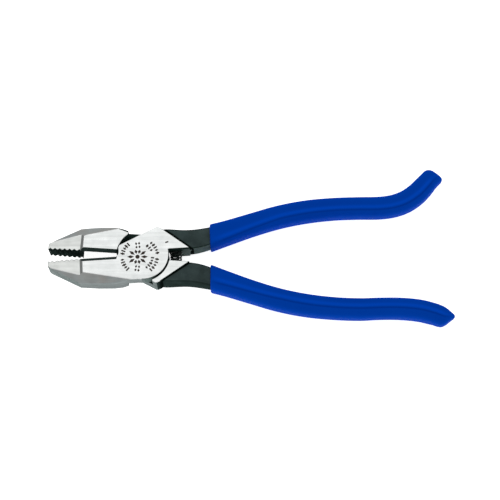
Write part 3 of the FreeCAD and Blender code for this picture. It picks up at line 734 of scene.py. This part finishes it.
# The coil's middle, its radius to the wire's middle, half its length and its turns, of which
# the closed ones at each end lie a little over a wire's width apart.
COIL_SPOT = Vector((19.0, 0.0, HALF_THICK))
COIL_RADIUS = 3.05
WIRE_RADIUS = 0.5
COIL_HALF = 7.85
COIL_TURNS = 10.5
CLOSED_TURNS = 1.25
CLOSED_PITCH = 2.02 * WIRE_RADIUS
WIRE_POINTS = 12
TURN_STEPS = 40
# Half the gap between the two halves, over which the coil bends.
GAP_HALF = 3.6


def coil_height(turn):
    """Where along the coil a turn is: the end turns lie closed, the rest stand apart."""
    closed = CLOSED_PITCH * CLOSED_TURNS
    if turn < CLOSED_TURNS:
        return -COIL_HALF + closed * turn / CLOSED_TURNS
    if turn > COIL_TURNS - CLOSED_TURNS:
        return COIL_HALF - closed * (COIL_TURNS - turn) / CLOSED_TURNS
    share = (turn - CLOSED_TURNS) / (COIL_TURNS - 2 * CLOSED_TURNS)
    return -COIL_HALF + closed + share * 2 * (COIL_HALF - closed)


def make_spring():
    """The return spring's coil, which bends between the two halves."""
    mesh = bmesh.new()
    rings = []
    steps = round(COIL_TURNS * TURN_STEPS)
    for step in range(steps + 1):
        turn = COIL_TURNS * step / steps
        angle = 2 * math.pi * turn
        out = Vector((math.cos(angle), 0.0, math.sin(angle)))
        spot = COIL_SPOT + out * COIL_RADIUS + Vector((0.0, coil_height(turn), 0.0))
        points = []
        for number in range(WIRE_POINTS):
            round_wire = 2 * math.pi * number / WIRE_POINTS
            offset = out * math.cos(round_wire) + Vector((0.0, math.sin(round_wire), 0.0))
            points.append(mesh.verts.new(spot + offset * WIRE_RADIUS))
        rings.append(points)
    for first, second in zip(rings, rings[1:]):
        bridge(mesh, first, second)
    mesh.faces.new(rings[0])
    mesh.faces.new(list(reversed(rings[-1])))
    bmesh.ops.recalc_face_normals(mesh, faces=mesh.faces)
    for face in mesh.faces:
        face.smooth = True
    mesh.transform(Matrix.Scale(MM, 4))
    made = new_object("return_spring_coil", mesh, [SPRING_STEEL])
    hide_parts("return_spring")
    near = COIL_SPOT * MM
    reach = Vector((0.0, GAP_HALF * MM, 0.0))
    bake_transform(made, "hook_half", "straight_half", start=near + reach, end=near - reach)


# ---------------------------------------------------------------- grips

# The points of a ring, the power that makes its outline a rounded square, the step between
# rings, and how many the end has, closer together towards the tip by this power.
GRIP_POINTS = 120
SQUARENESS = 3.5
GRIP_STEP = 1.5
END_RINGS = 28
END_CROWDING = 1.7
# How far the last point lies past the last ring.
TIP_RISE = 0.05
# How far the sleeve's inside stays from the bar, and how far before the last station its
# last ring and its last point lie.
BAR_GAP = 0.02
HOLLOW_SHORT = 1.0
HOLLOW_TIP_SHORT = 0.5
# Where a sleeve's first two rings are: far enough apart for a mouth that isn't square to it.
MOUTH_START = 1.8
MOUTH_RUN = 4.0
# The mouth's reach where Y is MOUTH_MIDDLE and how much it gains along Y, and its round lip.
MOUTH_MIDDLE = 10.0
MOUTH = {HOOK: (39.6, 0.02), STRAIGHT: (40.15, 0.07)}
LIP_RADIUS = 1.1
LIP_PARTS = 5
# Where the crease along a grip lies, as a share of the half width, and how much further
# out it lies at the mouth; it runs back to its place over CREASE_RUN and fades at both ends.
CREASE = {HOOK: -0.45, STRAIGHT: 0.12}
CREASE_OUT = 0.35
CREASE_RUN = 45.0
CREASE_FADE = 9.0
# The crease's depth, and where across it the dip, both carved and painted as shade, and the
# painted highlight beside it lie and how wide they are, as shares of the half width.
CREASE_DEEP = 0.3
DIP = (-0.02, 0.08)
PAINTED_HIGHLIGHT_BAND = (0.28, 0.18)
# How far a grip reaches past its last station, and its end: distance left, high side, low
# side, half depth.
HOOK_TAIL = 5.9
STRAIGHT_TAIL = 6.0
HOOK_END = [
    (0.0, 0.9, -3.9, 2.2),
    (0.2, 2.3, -5.1, 3.3),
    (0.6, 3.4, -5.8, 4.0),
    (1.3, 4.3, -6.2, 4.7),
    (2.4, 5.15, -6.15, 5.3),
    (4.0, 5.65, -5.95, 5.75),
    (7.0, 5.8, -5.85, 6.1),
]
STRAIGHT_END = [
    (0.0, -0.7, -1.6, 0.8),
    (0.35, 0.1, -2.1, 1.9),
    (1.0, 0.75, -2.45, 2.8),
    (2.2, 2.05, -2.95, 3.8),
    (3.5, 3.7, -3.65, 4.6),
    (5.0, 5.15, -4.45, 5.2),
    (6.6, 6.05, -5.1, 5.6),
    (8.5, 6.2, -5.55, 5.8),
    (11.0, 6.0, -5.8, 5.95),
]


def eased(keys, values, at):
    """A smooth curve through values at rising keys."""
    last = len(keys) - 1
    here = max(index for index in range(last) if at >= keys[index] or index == 0)
    there = here + 1
    slopes = []
    for index in (here, there):
        low, high = max(index - 1, 0), min(index + 1, last)
        slopes.append((values[high] - values[low]) / (keys[high] - keys[low]))
    span = keys[there] - keys[here]
    part = (at - keys[here]) / span
    left = 1 - part
    leaving = (1 + 2 * part) * left ** 2 * values[here] + part * left ** 2 * span * slopes[0]
    arriving = part ** 2 * (3 - 2 * part) * values[there] - part ** 2 * left * span * slopes[1]
    return leaving + arriving


class Way:
    """A grip's centre line with the sizes along it, by distance from its first station."""

    def __init__(self, stations):
        self.keys = [0.0]
        self.stations = stations
        for here, there in zip(stations, stations[1:]):
            chord = math.hypot(there[0] - here[0], there[1] - here[1])
            self.keys.append(self.keys[-1] + chord)
        self.length = self.keys[-1]

    def column(self, number):
        """One of the stations' six sizes, along the way."""
        return [station[number] for station in self.stations]

    def at(self, distance):
        """Position, direction, bar width, bar depth and wall at a distance."""
        inside = min(max(distance, 0.0), self.length)
        sizes = [eased(self.keys, self.column(number), inside) for number in range(6)]
        x, y, turn, wide, deep, wall = sizes
        angle = math.radians(turn)
        along = Vector((math.cos(angle), math.sin(angle), 0.0))
        return Vector((x, y, 0.0)) + along * (distance - inside), along, wide, deep, wall


def hump(at, place_and_width):
    """A smooth hump of height 1 at a place, with a width."""
    place, width = place_and_width
    return math.exp(-((at - place) / width) ** 2)


def crease_place(side, distance):
    """Where across a grip its crease lies at a distance from the first station."""
    place = CREASE[side]
    return place + math.copysign(CREASE_OUT * max(0.0, 1.0 - distance / CREASE_RUN), place)


def ring(mesh, way, distance, high, low, half_deep, side=None, total=0.0):
    """A ring of points square to the way, creased if it has a side, with its tone of painted highlight and
    painted shade by the crease.
    """
    spot, along, *_ = way.at(distance)
    across_way = Vector((-along.y, along.x, 0.0))
    middle, half_wide = (high + low) / 2, (high - low) / 2
    dip = painted_highlight = 0.0
    if side:
        strength = max(0.0, min(1.0, distance / CREASE_FADE, (total - distance) / CREASE_FADE))
        crease = crease_place(side, distance)
    painted_tones = mesh.verts.layers.float["tone"]
    points = []
    for number in range(GRIP_POINTS):
        angle = 2 * math.pi * number / GRIP_POINTS
        cosine, sine = math.cos(angle), math.sin(angle)
        out = (abs(cosine) ** SQUARENESS + abs(sine) ** SQUARENESS) ** (-1 / SQUARENESS)
        across, up = cosine * out, sine * out
        if side:
            past = (across - crease) * side
            dip, painted_highlight = strength * hump(past, DIP), strength * hump(past, PAINTED_HIGHLIGHT_BAND)
        place = spot + across_way * (middle + half_wide * across)
        place.z = up * (half_deep - CREASE_DEEP * dip)
        point = mesh.verts.new(place)
        # The painted highlight beside the crease, less the painted shade in it.
        point[painted_tones] = painted_highlight - dip
        points.append(point)
    return points


def bridge(mesh, first, second):
    """A band of faces between two rings of as many points."""
    count = len(first)
    for number in range(count):
        after = (number + 1) % count
        mesh.faces.new((first[number], first[after], second[after], second[number]))


def close(mesh, last, spot):
    """A fan from a ring to a point."""
    tip = mesh.verts.new(spot)
    for number in range(len(last)):
        mesh.faces.new((last[number], last[(number + 1) % len(last)], tip))


def outline(way, end, total, distance):
    """The grip's high side, low side and half depth at a distance."""
    _, _, wide, deep, wall = way.at(distance)
    left = total - distance
    if left >= end[-1][0]:
        return wide / 2 + wall, -wide / 2 - wall, deep / 2 + wall
    keys = [row[0] for row in end]
    return tuple(eased(keys, [row[column] for row in end], left) for column in (1, 2, 3))


def sleeve_steps(total, reach):
    """The distances of a sleeve's rings: even along it, and closer together at its end."""
    steps = [MOUTH_START, MOUTH_START + MOUTH_RUN]
    while steps[-1] < total - reach - GRIP_STEP:
        steps.append(steps[-1] + GRIP_STEP)
    for part in range(END_RINGS + 1):
        steps.append(total - reach * (1 - part / END_RINGS) ** END_CROWDING)
    return steps


def outer_skin(mesh, way, end, side, total, steps):
    """A sleeve's outside with its closed end, as rings."""
    rings = [ring(mesh, way, step, *outline(way, end, total, step), side, total) for step in steps]
    for first, second in zip(rings, rings[1:]):
        bridge(mesh, first, second)
    spot, along, *_ = way.at(total)
    middle = (end[0][1] + end[0][2]) / 2
    close(mesh, rings[-1], spot + along * TIP_RISE + Vector((-along.y, along.x, 0.0)) * middle)
    return rings


def inner_skin(mesh, way, steps):
    """A sleeve's inside round the bar with its closed end, as rings."""
    rings = []
    for step in steps:
        _, _, wide, deep, _ = way.at(step)
        half_wide, half_deep = wide / 2 + BAR_GAP, deep / 2 + BAR_GAP
        rings.append(ring(mesh, way, step, half_wide, -half_wide, half_deep))
    for first, second in zip(rings, rings[1:]):
        bridge(mesh, second, first)
    close(mesh, list(reversed(rings[-1])), way.at(way.length - HOLLOW_TIP_SHORT)[0])
    return rings


def make_grip(name, side, body, stations, tail, end):
    """A dipped sleeve from its mouth to its end, hollow where the bar goes."""
    way = Way(stations)
    total = way.length + tail
    steps = sleeve_steps(total, reach=end[-1][0])
    hollow = [step for step in steps if step < way.length - HOLLOW_SHORT]
    mesh = bmesh.new()
    # A tone per point, for the painted highlight and painted shade by the crease.
    mesh.verts.layers.float.new("tone")
    outer = outer_skin(mesh, way, end, side, total, steps)
    inner = inner_skin(mesh, way, hollow)
    level_mouth(outer, side)
    level_mouth(inner, side)
    round_mouth(mesh, outer, inner)
    bmesh.ops.recalc_face_normals(mesh, faces=mesh.faces)
    for face in mesh.faces:
        face.smooth = True
    made = new_object(name + "_dipped", mesh, [VINYL])
    made.data.transform(half_axes(side))
    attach(made, body)
    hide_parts(name)


def level_mouth(rings, side):
    """Slides the first ring along the sleeve so that the mouth lies in one plane."""
    reach, gain = MOUTH[side]
    for first, later in zip(rings[0], rings[1]):
        run = (later.co - first.co).normalized()
        short = reach + gain * (first.co.y - MOUTH_MIDDLE) - first.co.x
        first.co += run * (short / (run.x - gain * run.y))


def round_mouth(mesh, outer, inner):
    """Joins the outer and inner skins by a lip with a rounded outer edge."""
    last = outer[0]
    inward = [(low.co - high.co).normalized() for high, low in zip(outer[0], inner[0])]
    ahead = [(later.co - first.co).normalized() for first, later in zip(outer[0], outer[1])]
    corners = [vert.co.copy() for vert in outer[0]]
    for vert, run in zip(outer[0], ahead):
        vert.co += run * LIP_RADIUS
    for part in range(1, LIP_PARTS + 1):
        angle = math.pi / 2 * part / LIP_PARTS
        back, down = LIP_RADIUS * (1 - math.sin(angle)), LIP_RADIUS * (1 - math.cos(angle))
        lip = []
        for corner, run, dip in zip(corners, ahead, inward):
            lip.append(mesh.verts.new(corner + run * back + dip * down))
        bridge(mesh, lip, last)
        last = lip
    bridge(mesh, inner[0], last)


VINYL = vinyl("dipped_vinyl")
SPRING_STEEL = black_oxide("spring_steel", (0.014, 0.020, 0.018), roughness=0.4, gloss=0.1)
STEELS = {HOOK: half_materials(HOOK), STRAIGHT: half_materials(STRAIGHT)}
stamp = stamp_cutter()
make_half("hook_handle_half", HOOK, "hook_half", stamp)
make_half("straight_handle_half", STRAIGHT, "straight_half", None)
make_rivet(stamp)
bpy.data.objects.remove(stamp)
make_grip("hook_handle_grip", HOOK, "hook_half", GRIP_HOOK, HOOK_TAIL, HOOK_END)
make_grip("straight_handle_grip", STRAIGHT, "straight_half", GRIP_STRAIGHT, STRAIGHT_TAIL,
          STRAIGHT_END)
make_spring()


# ---------------------------------------------------------------- floor, light, camera

# Places and sizes in metres. The camera looks down on the pliers' middle from the side of
# the straight handle, its lens and its film in millimetres.
WHITE = (1.0, 1.0, 1.0, 1.0)
FLOOR_REACH = 3.0
FLOOR_COLOUR = (0.93, 0.93, 0.93, 1.0)
FLOOR_ROUGHNESS = 0.9
FLOOR_GLOSS = 0.1
FLOOR_GLOW = 0.85
CAMERA_SPOT = (0.06237, -0.2574, 0.8164)
CAMERA_TARGET = (0.06237, 0.00523, 0.008)
CAMERA_LENS = 104.04
CAMERA_FILM = 36.0
LAMP_SPOT = (0.06, 0.45, 1.0)
LAMP_TARGET = (0.06, 0.0, 0.0)
LAMP_SIZE = (1.2, 0.8)
LAMP_WATTS = 1.75
WORLD_STRENGTH = 0.6


def make_floor():
    """A wide pale floor under the pliers, which glows so that it stays white."""
    data = bpy.data.meshes.new("floor")
    corners = [(x * FLOOR_REACH, y * FLOOR_REACH, 0) for x, y in ((-1, -1), (1, -1), (1, 1), (-1, 1))]
    data.from_pydata(corners, [], [(0, 1, 2, 3)])
    floor = bpy.data.objects.new("floor", data)
    bpy.context.scene.collection.objects.link(floor)
    material = bpy.data.materials.new("pale_floor")
    material.use_nodes = True
    shader = material.node_tree.nodes["Principled BSDF"]
    shader.inputs["Base Color"].default_value = FLOOR_COLOUR
    shader.inputs["Roughness"].default_value = FLOOR_ROUGHNESS
    shader.inputs["Specular IOR Level"].default_value = FLOOR_GLOSS
    shader.inputs["Emission Color"].default_value = WHITE
    shader.inputs["Emission Strength"].default_value = FLOOR_GLOW
    data.materials.append(material)


def aimed(thing, spot, target):
    """Puts a lamp or a camera at a spot, looking at a target."""
    look = Vector(target) - Vector(spot)
    turned = look.to_track_quat("-Z", "Y").to_matrix().to_4x4()
    thing.matrix_world = Matrix.Translation(spot) @ turned


def make_lamp():
    """One broad soft lamp above and behind."""
    data = bpy.data.lights.new("overhead", "AREA")
    data.shape = "RECTANGLE"
    data.size, data.size_y = LAMP_SIZE
    data.energy = LAMP_WATTS
    lamp = bpy.data.objects.new("overhead", data)
    bpy.context.scene.collection.objects.link(lamp)
    aimed(lamp, LAMP_SPOT, LAMP_TARGET)


def make_world():
    """An even white light from everywhere."""
    world = bpy.data.worlds.new("studio")
    bpy.context.scene.world = world
    world.use_nodes = True
    background = world.node_tree.nodes["Background"]
    background.inputs["Color"].default_value = WHITE
    background.inputs["Strength"].default_value = WORLD_STRENGTH


def make_camera():
    """The camera that takes the picture at rest."""
    data = bpy.data.cameras.new("camera")
    data.sensor_width = CAMERA_FILM
    data.lens = CAMERA_LENS
    camera = bpy.data.objects.new("camera", data)
    bpy.context.scene.collection.objects.link(camera)
    aimed(camera, CAMERA_SPOT, CAMERA_TARGET)
    bpy.context.scene.camera = camera


bpy.context.scene.view_settings.view_transform = "Standard"
make_floor()
make_world()
make_lamp()
make_camera()
